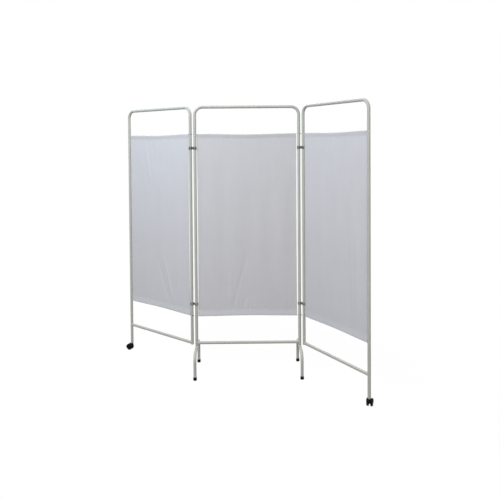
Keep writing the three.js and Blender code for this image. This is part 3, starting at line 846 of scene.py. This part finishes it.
def make_hoop(side):
    node = f"{side}_foot_hoop"
    low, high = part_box(node)
    half = (high.y - low.y) / 2 - TUBE_RADIUS
    corners = [
        Vector((0, -half, low.z)),
        Vector((0, -half, crown_height)),
        Vector((0, half, crown_height)),
        Vector((0, half, low.z)),
    ]
    spigot = raised(SPIGOT_FOOT, crown_height + TUBE_BORE / 2) + raised(SPIGOT_HEAD, high.z)
    parts = [tube(bent_run(corners, HOOP_BEND), X_AXIS), lathed(spigot, soft=0.5 * MM, sides=32)]
    dressed(node, "tube", parts, PAINT, "centre", Matrix.Translation(footprint(node)))


def make_tip(node):
    low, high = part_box(node)
    tip = lathed(fitted(FOOT_TIP, (high.x - low.x) / 2, high.z), soft=0.45 * MM, sides=40)
    dressed(node, "ferrule", [tip], RUBBER, "centre", Matrix.Translation(footprint(node)))


for hoop_side in ("left", "right"):
    make_hoop(hoop_side)
    for where in ("front", "rear"):
        make_tip(f"{hoop_side}_{where}_foot_tip")


# Rods with their heads, caps and pins

def make_rods(panel):
    face = TUBE_RADIUS + FIT_GAP
    places = [-face - ROD_HEAD_SINK, -TUBE_RADIUS]
    places += evenly(TUBE_RADIUS, panel.width - TUBE_RADIUS, ROD_STEPS)
    places += [panel.width + TUBE_RADIUS, panel.width + face + ROD_CAP_SINK]
    finish = CAP_STEEL if panel is centre else CLIP_STEEL
    for level, height, bow in (
        ("top", panel.top_rod, -TOP_SAG),
        ("bottom", panel.bottom_rod, BOTTOM_RISE),
    ):
        node = f"{panel.name}_{level}_rod"
        spots = [Vector((x, 0, height + bow * sag_share(x, panel.width))) for x in places]
        rod = skin([round_ring((spot, X_AXIS), Y_AXIS, ROD_RADIUS, sides=16) for spot in spots])
        dressed(node, "steel", [rod], ROD_STEEL, panel.body, panel.matrix)
        outward = Matrix.Translation((-face, 0, height)) @ Matrix.Rotation(-QUARTER_TURN, 4, "Y")
        head = placed(lathed(raised(ROD_HEAD), soft=1.2 * MM, sides=28, steps=5), outward)
        piece(f"{node}_head_steel", [head], finish, panel.body, panel.matrix)
        turn = Matrix.Rotation(QUARTER_TURN, 4, "Y")
        cap = placed(lathed(raised(ROD_CAP), soft=0.8 * MM, sides=28, steps=4), turn)
        where = panel.matrix @ Matrix.Translation((panel.width + face, 0, height))
        dressed(f"{node}_cap", "steel", [cap], CAP_STEEL, panel.body, where)


def make_rod_pins(panel):
    """Small pins through the inner upright's wall that keep both rods from turning."""
    profile = [(0, -PIN_SINK), (PIN_RADIUS, -PIN_SINK), (PIN_RADIUS, PIN_RISE / 2), (0, PIN_RISE)]
    angle = panel.front * math.radians(PIN_TURN)
    way = Vector((math.cos(angle), math.sin(angle), 0))
    for level, height in (("top", panel.top_rod), ("bottom", panel.bottom_rod)):
        seat = facing(way * TUBE_RADIUS + Z_AXIS * height, way)
        pin = placed(lathed(profile, soft=PIN_RISE / 4, sides=20), seat)
        piece(f"{panel.name}_{level}_rod_pin", [pin], CLIP_STEEL, panel.body, panel.matrix)


for panel in (centre, left, right):
    make_rods(panel)
for panel in (left, right):
    make_rod_pins(panel)


# Cloths

def eased(value):
    clamped = min(max(value, 0), 1)
    return clamped * clamped * (3 - 2 * clamped)


def fold_height(fold, spot, size):
    """How far a fold stands out at a spot, given as shares of the cloth's size."""
    start_shares, end_shares, half_width, depth = fold
    start = Vector(start_shares) * size
    run = Vector(end_shares) * size - start
    here = spot * size - start
    along = here.dot(run) / run.length_squared
    fade = math.prod(eased((to_end / FOLD_FADE_SHARE + 1) / 2) for to_end in (along, 1 - along))
    off = abs(here.x * run.y - here.y * run.x) / run.length
    return depth * MM * fade * math.exp(-(off / half_width / MM) ** 2)


class Cloth:
    """One cloth: where its sheet lies at each place, with its ripples, folds and puckers.

    The gaps from the uprights, in millimetres, are given for the inner and the outer side, each at
    the corners and halfway down, where the side edges are drawn in. Each fold is a soft crease:
    where it starts and ends, as shares of the cloth's width and height, and its half width and
    depth in millimetres.
    """

    def __init__(self, panel, gaps, phase, folds, seed):
        self.panel = panel
        self.gaps = gaps
        self.phase = phase
        self.folds = folds
        self.seed = seed
        self.top = panel.top_rod + HEM_LOOP
        self.bottom = panel.bottom_rod - HEM_LOOP
        self.high = self.top - TOP_HEM
        self.low = self.bottom + BOTTOM_HEM
        self.tall = self.top - self.bottom
        inner, outer = self.side_edges(self.top)
        self.wide = outer - inner

    def free_share(self, z):
        """Nought at the bottom hem's seam and below it, one at the top hem's seam and above it."""
        return min(max((z - self.low) / (self.high - self.low), 0), 1)

    def side_edges(self, z):
        drawn = math.sqrt(math.sin(HALF_TURN * self.free_share(z)))
        inner, outer = (
            TUBE_RADIUS + MM * (corner + (halfway - corner) * drawn) for corner, halfway in self.gaps
        )
        return inner, self.panel.width - outer

    def side_seams(self, z):
        inner, outer = self.side_edges(z)
        inset = SIDE_HEM - STITCH_INSET
        return inner + inset, outer - inset

    def uneven(self, x, z, seed_step=0):
        """Noise from about -1 to 1 that is this cloth's own."""
        return noise.noise(Vector((x, z, self.seed + seed_step)))

    def wrinkle(self, x, z):
        """How far the sheet stands off its middle plane."""
        inner, outer = self.side_edges(z)
        spot = Vector(((x - inner) / (outer - inner), (z - self.bottom) / self.tall))
        slack = math.sin(HALF_TURN * self.free_share(z))
        by_edge = CALM_SHARE + (1 - CALM_SHARE) * abs(2 * spot.x - 1)
        by_height = CALM_SHARE + (1 - CALM_SHARE) * slack
        total = RIPPLE_DEPTH * by_edge * slack * math.sin(FULL_TURN * x / RIPPLE_LENGTH + self.phase)
        for swell in SWELLS:
            patch = self.uneven(x * swell["across"], z * swell["down"], swell["seed_step"])
            total += swell["depth"] * patch * by_height
        for seam, reach in ((self.high, TOP_GATHER_REACH), (self.low, BOTTOM_GATHER_REACH)):
            gather = self.uneven(x * GATHER_GRAIN, seam * SEAM_PLACE_GRAIN, GATHER_SEED_STEP)
            total += GATHER_DEPTH * gather * math.exp(-abs(z - seam) / reach)
        total += sum(fold_height(fold, spot, Vector((self.wide, self.tall))) for fold in self.folds)
        for seam in self.side_seams(z):
            pucker = 1 + PUCKER_SHARE * self.uneven(z * PUCKER_GRAIN, seam * SEAM_PLACE_GRAIN)
            groove = SEAM_GROOVE * pucker * math.exp(-((x - seam) / SEAM_GROOVE_WIDTH) ** 2)
            total -= self.panel.front * groove * eased(SEAM_EASE * slack)
        held = eased((self.top - z) / TOP_HEM) * eased((z - self.bottom) / BOTTOM_HEM)
        return total * held

    def stations(self):
        """The sheet's path over its height: (distance to the rear, height), from the rear top hem on."""
        top_rod, bottom_rod = self.panel.top_rod, self.panel.bottom_rod
        path = [(CLOTH_LAP, self.high - STITCH_INSET), (CLOTH_LAP, self.high)]

        def run(to_point, count=HEM_ROWS):
            path.extend(zip(*(evenly(a, b, count)[1:] for a, b in zip(path[-1], to_point))))

        def loop(height, first):
            for angle in evenly(first, first + HALF_TURN, HEM_LOOP_STEPS)[1:]:
                path.append((HEM_LOOP * math.cos(angle), height + HEM_LOOP * math.sin(angle)))

        run((HEM_LOOP, top_rod))
        loop(top_rod, 0)
        run((0, self.high))
        run((0, self.low), round((self.high - self.low) / CLOTH_ROW))
        run((-HEM_LOOP, bottom_rod))
        loop(bottom_rod, HALF_TURN)
        run((CLOTH_LAP, self.low))
        path.append((CLOTH_LAP, self.low + STITCH_INSET))
        return path

    def at(self, x, rear, z):
        """The point of the sheet at x, a distance to the rear of its middle plane and a height."""
        up_share = self.free_share(z)
        lift = (BOTTOM_RISE * (1 - up_share) - TOP_SAG * up_share) * sag_share(x, self.panel.width)
        return Vector((x, self.wrinkle(x, z) - self.panel.front * rear, z + lift))

    def columns(self, z):
        """Places across the sheet at a height, closer together beside the seams of the side hems."""
        inner, outer = self.side_edges(z)
        near = [SIDE_HEM * share for share in SIDE_HEM_SHARES]
        count = round((self.wide - 2 * near[-1]) / CLOTH_COLUMN)
        between = evenly(inner + near[-1], outer - near[-1], count)[1:-1]
        return [*(inner + off for off in near), *between, *(outer - off for off in reversed(near))]


def surface(lines):
    """The open surface through lines of points, each with as many points as the next."""
    across = len(lines[0])
    corners = [row * across + k for row in range(len(lines) - 1) for k in range(across - 1)]
    return sum(lines, []), [(a, a + 1, a + 1 + across, a + across) for a in corners]


def thickened(share=1):
    return [("SOLIDIFY", {"thickness": share * CLOTH_THICKNESS, "offset": 0, "use_even_offset": False})]


def make_cloth(cloth, finish):
    panel = cloth.panel
    node = f"{panel.name}_cloth"
    path = cloth.stations()
    lines = [[cloth.at(x, rear, z) for x in cloth.columns(z)] for rear, z in path]
    sheet = dressed(
        node, "sheet", [surface(lines)], finish, panel.body, panel.matrix,
        sharp=CLOTH_SHARP_DEGREES, modifiers=thickened(),
    )
    make_side_hems(cloth, finish)
    make_stitches(cloth)


def make_side_hems(cloth, finish):
    """The side edges' cloth, folded to the rear in a round fold and laid flat as two strips."""
    panel = cloth.panel
    half = CLOTH_LAP / 2
    angles = evenly(0, HALF_TURN, SIDE_FOLD_STEPS)
    profile = [(-half * math.sin(angle), half * (1 - math.cos(angle))) for angle in angles]
    profile += [(SIDE_HEM * share, CLOTH_LAP) for share in SIDE_HEM_SHARES[1:-1]]
    foot = cloth.low + STITCH_INSET + CLOTH_THICKNESS
    head = cloth.high - STITCH_INSET - CLOTH_THICKNESS
    strips = []
    for side, inward in ((0, 1), (1, -1)):
        lines = []
        for z in evenly(foot, head, round((head - foot) / CLOTH_ROW)):
            edge = cloth.side_edges(z)[side]
            lines.append([cloth.at(edge + inward * off, rear, z) for off, rear in profile])
        strips.append(surface(lines))
    return piece(
        f"{panel.name}_cloth_side_hems", strips, finish, panel.body, panel.matrix,
        sharp=CLOTH_SHARP_DEGREES, modifiers=thickened(HEM_CLOTH_SHARE),
    )


def stitch(start, end, outward):
    """One lock stitch: a short thread that dips into the cloth at both ends."""
    crown = (start + end) / 2 + outward * STITCH_RADIUS * STITCH_CROWN
    side = (end - start).normalized().cross(outward).normalized()
    thin = STITCH_RADIUS * STITCH_TAPER_SHARE
    rings = [
        ring_at(point, side, outward, radius, STITCH_SIDES)
        for point, radius in (
            (start, thin),
            (start.lerp(crown, STITCH_TAPER_SHARE), STITCH_RADIUS),
            (end.lerp(crown, STITCH_TAPER_SHARE), STITCH_RADIUS),
            (end, thin),
        )
    ]
    return skin(rings)


def make_stitches(cloth):
    """The seams' threads, on the front and on the rear of all four hems."""
    panel = cloth.panel
    threads = []
    half = STITCH_LENGTH / 2
    for rear, way in ((-CLOTH_THICKNESS / 2, -1), (CLOTH_LAP + CLOTH_THICKNESS / 2, 1)):
        outward = Y_AXIS * -panel.front * way
        for z in (cloth.high, cloth.low):
            inner, outer = cloth.side_edges(z)
            count = int((outer - inner) / STITCH_PITCH)
            for k in range(count):
                x = inner + (k + 0.5) * (outer - inner) / count
                threads.append(stitch(cloth.at(x - half, rear, z), cloth.at(x + half, rear, z), outward))
        count = int((cloth.high - cloth.low) / STITCH_PITCH)
        for k in range(2, count - 1):
            z = cloth.low + (k + 0.5) * (cloth.high - cloth.low) / count
            for foot, head in zip(cloth.side_seams(z - half), cloth.side_seams(z + half)):
                ends = cloth.at(foot, rear, z - half), cloth.at(head, rear, z + half)
                threads.append(stitch(*ends, outward))
    name = f"{panel.name}_cloth_stitches"
    return piece(name, threads, THREAD, panel.body, panel.matrix, sharp=60)


CLOTHS = (
    Cloth(centre, gaps=((2, 6), (6, 8)), phase=0, seed=11.3, folds=(
        ((0.49, 0.33), (0.35, 0.04), 11, 1.5),
        ((0.51, 0.12), (0.45, 0.05), 10, 1.1),
        ((0.33, 0.22), (0.33, 0.085), 9, -1.4),
    )),
    Cloth(left, gaps=((4, 9), (3, 6)), phase=QUARTER_TURN, seed=23.9, folds=(
        ((0.72, 0.93), (0.66, 0.74), 12, 2.4),
        ((0.58, 0.94), (0.56, 0.80), 10, -1.8),
        ((0.42, 0.28), (0.28, 0.06), 10, 2.4),
        ((0.50, 0.26), (0.36, 0.06), 9, -1.9),
    )),
    Cloth(right, gaps=((4, 7), (3, 5.5)), phase=HALF_TURN, seed=37.1, folds=(
        ((0.40, 0.95), (0.36, 0.82), 9, 1.8),
        ((0.52, 0.95), (0.46, 0.84), 9, -1.7),
        ((0.72, 0.55), (0.74, 0.08), 11, 1.8),
        ((0.84, 0.50), (0.86, 0.10), 11, -1.6),
    )),
)
for each_cloth in CLOTHS:
    make_cloth(each_cloth, CLOTH if each_cloth.panel is centre else SIDE_CLOTH)


# Hinge clips

def strap_path(length):
    """Points and half heights along a strap's middle line, from one tube round to the other."""
    radius = TUBE_RADIUS + TURN_GAP + STRAP_THICKNESS / 2
    bend = WAIST_FILLET + STRAP_THICKNESS / 2
    bend_y = FIT_GAP / 2 + STRAP_THICKNESS / 2 + bend
    bend_x = math.sqrt((radius + bend) ** 2 - bend_y ** 2)
    lean = math.atan2(bend_y, bend_x)
    start = HALF_TURN - FIT_GAP / 2 / radius
    path = []
    for angle in evenly(start, lean, STRAP_STEPS):
        path.append((radius * math.cos(angle), radius * math.sin(angle), STRAP_HEIGHT / 2))
    for share in evenly(0, 1, FILLET_STEPS)[1:]:
        angle = HALF_TURN + lean + (QUARTER_TURN - lean) * share
        half = (STRAP_HEIGHT + (WAIST_HEIGHT - STRAP_HEIGHT) * eased(share)) / 2
        path.append((bend_x + bend * math.cos(angle), bend_y + bend * math.sin(angle), half))
    return path + [(length - x, y, half) for x, y, half in reversed(path)]


def strap(length, turn):
    path = strap_path(length)
    thick = STRAP_THICKNESS / 2
    rings = []
    for i, (x, y, half) in enumerate(path):
        before = Vector(path[max(i - 1, 0)][:2])
        after = Vector(path[min(i + 1, len(path) - 1)][:2])
        way = (after - before).normalized()
        section = [(-thick, -half), (thick, -half), (thick, half), (-thick, half)]
        section = softened(section, STRAP_EDGE, closed=True)
        rings.append([turn @ Vector((x - way.y * off, y + way.x * off, z)) for off, z in section])
    return skin(rings)


def bolt(face):
    """A pan head, its shank and a threaded tail."""
    tail = -face - BOLT_TAIL
    start = tail + THREAD_START
    profile = raised(BOLT_TIP, tail)
    for k in range(THREAD_TURNS):
        profile += raised(BOLT_THREAD, start + THREAD_PITCH * k)
    profile += raised(BOLT_SHANK, start + THREAD_PITCH * THREAD_TURNS) + raised(BOLT_HEAD, face)
    return lathed(profile, soft=0.25 * MM, sides=32, steps=2)


def nut(face):
    """A hexagon nut with chamfered corners round its bore."""
    flat = NUT_CORNER * math.cos(SIXTH_TURN / 2)
    corners = []
    for k in range(NUT_SIDES):
        within = FULL_TURN * k / NUT_SIDES % SIXTH_TURN - SIXTH_TURN / 2
        corners.append(flat / math.cos(within))
    levels = (
        (0, flat + NUT_FACE_RIM),
        (NUT_CHAMFER, NUT_CORNER),
        (NUT_HEIGHT - NUT_CHAMFER, NUT_CORNER),
        (NUT_HEIGHT, flat + NUT_FACE_RIM),
        (NUT_HEIGHT, NUT_BORE),
        (0, NUT_BORE),
    )
    rings = []
    for level, limit in levels:
        reaches = [min(corner, limit) for corner in corners]
        rings.append([(r * c, r * s, -face - level) for r, (c, s) in zip(reaches, circle(NUT_SIDES))])
    return skin(rings, looped=True)


def make_hinge(side, panel, centre_x):
    """The two clips of one side, from the centre upright to the side panel's inner upright."""
    start = centre.matrix @ Vector((centre_x, 0, 0))
    along = panel.matrix.translation - start
    length = along.length
    along.normalize()
    across = Z_AXIS.cross(along)
    if across.y > 0:
        across = -across
    face = FIT_GAP / 2 + STRAP_THICKNESS + FIT_GAP
    body = f"{side}_link"
    # The lower clips get the lighter copy of the clip steel, a painted reflection
    for level, finish in (("upper", CLIP_STEEL), ("lower", LOWER_CLIP_PAINTED_REFLECTION)):
        name = f"{side}_{level}_hinge"
        start.z = middle(f"{name}_bolt").z
        where = framed(along, across, along.cross(across), start)
        for which, turn in (("front", 0), ("rear", HALF_TURN)):
            half_clip = [strap(length, Matrix.Rotation(turn, 4, "X"))]
            dressed(f"{name}_{which}_strap", "steel", half_clip, finish, body, where)
        seat = where @ Matrix.Translation((length / 2, 0, 0)) @ Matrix.Rotation(-QUARTER_TURN, 4, "X")
        dressed(f"{name}_bolt", "steel", [bolt(face)], CLIP_STEEL, body, seat, sharp=30)
        dressed(f"{name}_nut", "steel", [nut(face)], CLIP_STEEL, body, seat, sharp=25)


make_hinge("left", left, 0)
make_hinge("right", right, centre.width)


# Tube plugs, castor sockets and stems

def make_tube_ends(panel):
    name = panel.name
    inner = panel.matrix @ Matrix.Translation((0, 0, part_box(f"{name}_tube_plug")[0].z))
    plug = lathed(raised(TUBE_PLUG), soft=0.5 * MM, sides=36)
    dressed(f"{name}_tube_plug", "cap", [plug], PLUG_GREY, panel.body, inner)
    outer = panel.matrix @ Matrix.Translation((panel.width, 0, 0))
    profile = raised(SOCKET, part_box(f"{name}_castor_socket")[0].z)
    socket = sleeve(softened(profile, radius=0.35 * MM, closed=True), sides=36)
    dressed(f"{name}_castor_socket", "sleeve", [socket], CASTOR_BLACK, panel.body, outer)
    low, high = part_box(f"{name}_castor_stem")
    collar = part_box(f"{name}_castor_body")[1].z + FIT_GAP
    profile = raised(STEM_FOOT, low.z) + raised(STEM_COLLAR, collar) + raised(STEM_HEAD, high.z)
    stem = lathed(profile, soft=0.3 * MM, sides=32)
    dressed(f"{name}_castor_stem", "steel", [stem], ROD_STEEL, panel.body, outer)


for side_panel in (left, right):
    make_tube_ends(side_panel)


# Castors

def castor_body_parts(axle, boss_top):
    """Web, hub, hood and boss of one moulding, as overlapping solids that a remesh then joins."""
    inner = axle.z + HOOD_GAP
    outer = inner + HOOD_THICKNESS
    flank = HOOD_HALF_WIDTH - HOOD_EDGE
    section = ((inner, -HOOD_HALF_WIDTH), (outer, -flank), (outer, flank), (inner, HOOD_HALF_WIDTH))
    spokes = [Vector((math.cos(a), 0, math.sin(a))) for a in evenly(HOOD_REAR, HOOD_FRONT, HOOD_STEPS)]
    hood = [[axle + spoke * radius + Y_AXIS * y for radius, y in section] for spoke in spokes]
    web = [axle, *(axle + spoke * (inner + WEB_OVERLAP) for spoke in spokes)]
    hub = ring_at(axle, X_AXIS, Z_AXIS, HUB_RADIUS, sides=32)
    plates = [
        skin([[p + Y_AXIS * y for p in outline] for y in (-WEB_HALF_WIDTH, WEB_HALF_WIDTH)])
        for outline in (web, hub)
    ]
    return [skin(hood), *plates, turned(raised(BOSS, boss_top), sides=40)]


def make_castor(side):
    name = f"{side}_castor"
    swivel = footprint(f"{name}_stem")
    ahead = footprint(f"{name}_axle") - swivel
    trail = ahead.length
    ahead.normalize()
    across = Z_AXIS.cross(ahead)
    where = framed(ahead, across, Z_AXIS, swivel)
    low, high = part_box(f"{name}_near_wheel")
    radius = (high.z - low.z) / 2
    axle = Vector((trail, 0, radius))
    remesh = ("REMESH", {"mode": "VOXEL", "voxel_size": CASTOR_VOXEL, "use_smooth_shade": True})
    soften = ("SMOOTH", {"factor": 0.5, "iterations": 4})
    parts = castor_body_parts(axle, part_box(f"{name}_body")[1].z)
    dressed(
        f"{name}_body", "moulding", parts, CASTOR_BLACK, name, where,
        sharp=CASTOR_SHARP_DEGREES, modifiers=[remesh, soften],
    )
    half = WHEEL_OFFSET + WHEEL_WIDTH - AXLE_SINK
    pin = [(0, -half), (AXLE_RADIUS, -half), (AXLE_RADIUS, half), (0, half)]
    seat = where @ Matrix.Translation(axle)
    crosswise = seat @ Matrix.Rotation(-QUARTER_TURN, 4, "X")
    dressed(f"{name}_axle", "pin", [lathed(pin, soft=0.4 * MM, sides=28)], ROD_STEEL, name, crosswise)
    near_sign = math.copysign(1, (footprint(f"{name}_near_wheel") - footprint(f"{name}_axle")).dot(across))
    for which, sign in (("near", near_sign), ("far", -near_sign)):
        turn = Matrix.Rotation(-sign * QUARTER_TURN, 4, "X")
        spot = seat @ Matrix.Translation((0, sign * WHEEL_OFFSET, 0)) @ turn
        wheel = lathed(fitted(WHEEL, radius, WHEEL_WIDTH), soft=0.5 * MM, sides=56)
        dressed(f"{name}_{which}_wheel", "tyre", [wheel], WHEEL_BLACK, f"{side}_{which}_wheel", spot)


for castor_side in ("left", "right"):
    make_castor(castor_side)


# Floor, backdrop and lights

def seen_directly(nodes):
    """One for the rays that see floor and world as plain white: camera, glossy and transmission."""
    rays = nodes.node("LightPath").outputs
    seen = rays["Is Camera Ray"]
    for kind in ("Is Glossy Ray", "Is Transmission Ray"):
        seen = nodes.math("MAXIMUM", seen, rays[kind])
    return seen


def make_floor():
    """A pale floor that turns to plain white away from the screen, so that no horizon shows."""
    mesh = bpy.data.meshes.new("floor")
    corners = [(FLOOR_REACH * x, FLOOR_REACH * y, 0) for x, y in ((-1, -1), (1, -1), (1, 1), (-1, 1))]
    mesh.from_pydata(corners, [], [(0, 1, 2, 3)])
    floor = new_object("floor", mesh)
    floor.location.z = -FLOOR_DROP
    material = bpy.data.materials.new("floor")
    material.use_nodes = True
    nodes = Nodes(material.node_tree)
    nodes.tree.nodes.clear()
    place = nodes.node("TexCoord").outputs["Object"]
    length = nodes.node("VectorMath", {0: place}, operation="LENGTH").outputs["Value"]
    away = nodes.ranged(length, FLOOR_FADE, (FLOOR_WHITE_SHARE, 1), interpolation_type="SMOOTHSTEP")
    grey, pale = (
        nodes.node("BsdfDiffuse", {"Color": (*colour, 1)}).outputs["BSDF"]
        for colour in (FLOOR_GREY, FLOOR_PALE)
    )
    glow = nodes.node("Emission", {"Strength": 1}).outputs["Emission"]
    surface = nodes.mixed(seen_directly(nodes), grey, nodes.mixed(away, pale, glow))
    nodes.node("OutputMaterial", {"Surface": surface})
    mesh.materials.append(material)


def make_world(strength, colour):
    world = bpy.data.worlds.new("world")
    bpy.context.scene.world = world
    world.use_nodes = True
    nodes = Nodes(world.node_tree)
    ambient = nodes.tree.nodes["Background"]
    nodes.feed(ambient.inputs["Color"], (*colour, 1))
    nodes.feed(ambient.inputs["Strength"], strength)
    white = nodes.node("Background", {"Color": (*WHITE, 1)}).outputs["Background"]
    surface = nodes.mixed(seen_directly(nodes), ambient.outputs["Background"], white)
    nodes.feed(nodes.tree.nodes["World Output"].inputs["Surface"], surface)


def make_light(name, place, target, size, power, colour=WHITE):
    data = bpy.data.lights.new(name, "AREA")
    data.shape = "RECTANGLE"
    data.size, data.size_y = size
    data.energy = power
    data.color = colour
    light = new_object(name, data)
    light.location = base + Vector(place)
    way = Vector(target) - Vector(place)
    light.rotation_mode = "QUATERNION"
    light.rotation_quaternion = way.to_track_quat("-Z", "Y")


make_floor()
make_world(strength=0.75, colour=(0.985, 0.99, 1.0))
make_light("front_light", place=(0, -3.5, 2.5), target=(0, 0, 1.0), size=(3.0, 1.2), power=47)
make_light(
    "left_light", place=(-1.7, -1.2, 3.1), target=(-0.6, 0.2, 1.2), size=(1.2, 1.2), power=58,
    colour=(0.72, 0.86, 1.0),
)
make_light("rear_light", place=(0, 3.2, 3.0), target=(0, 0, 1.2), size=(3.0, 1.6), power=55)

bpy.context.scene.view_settings.view_transform = "Standard"
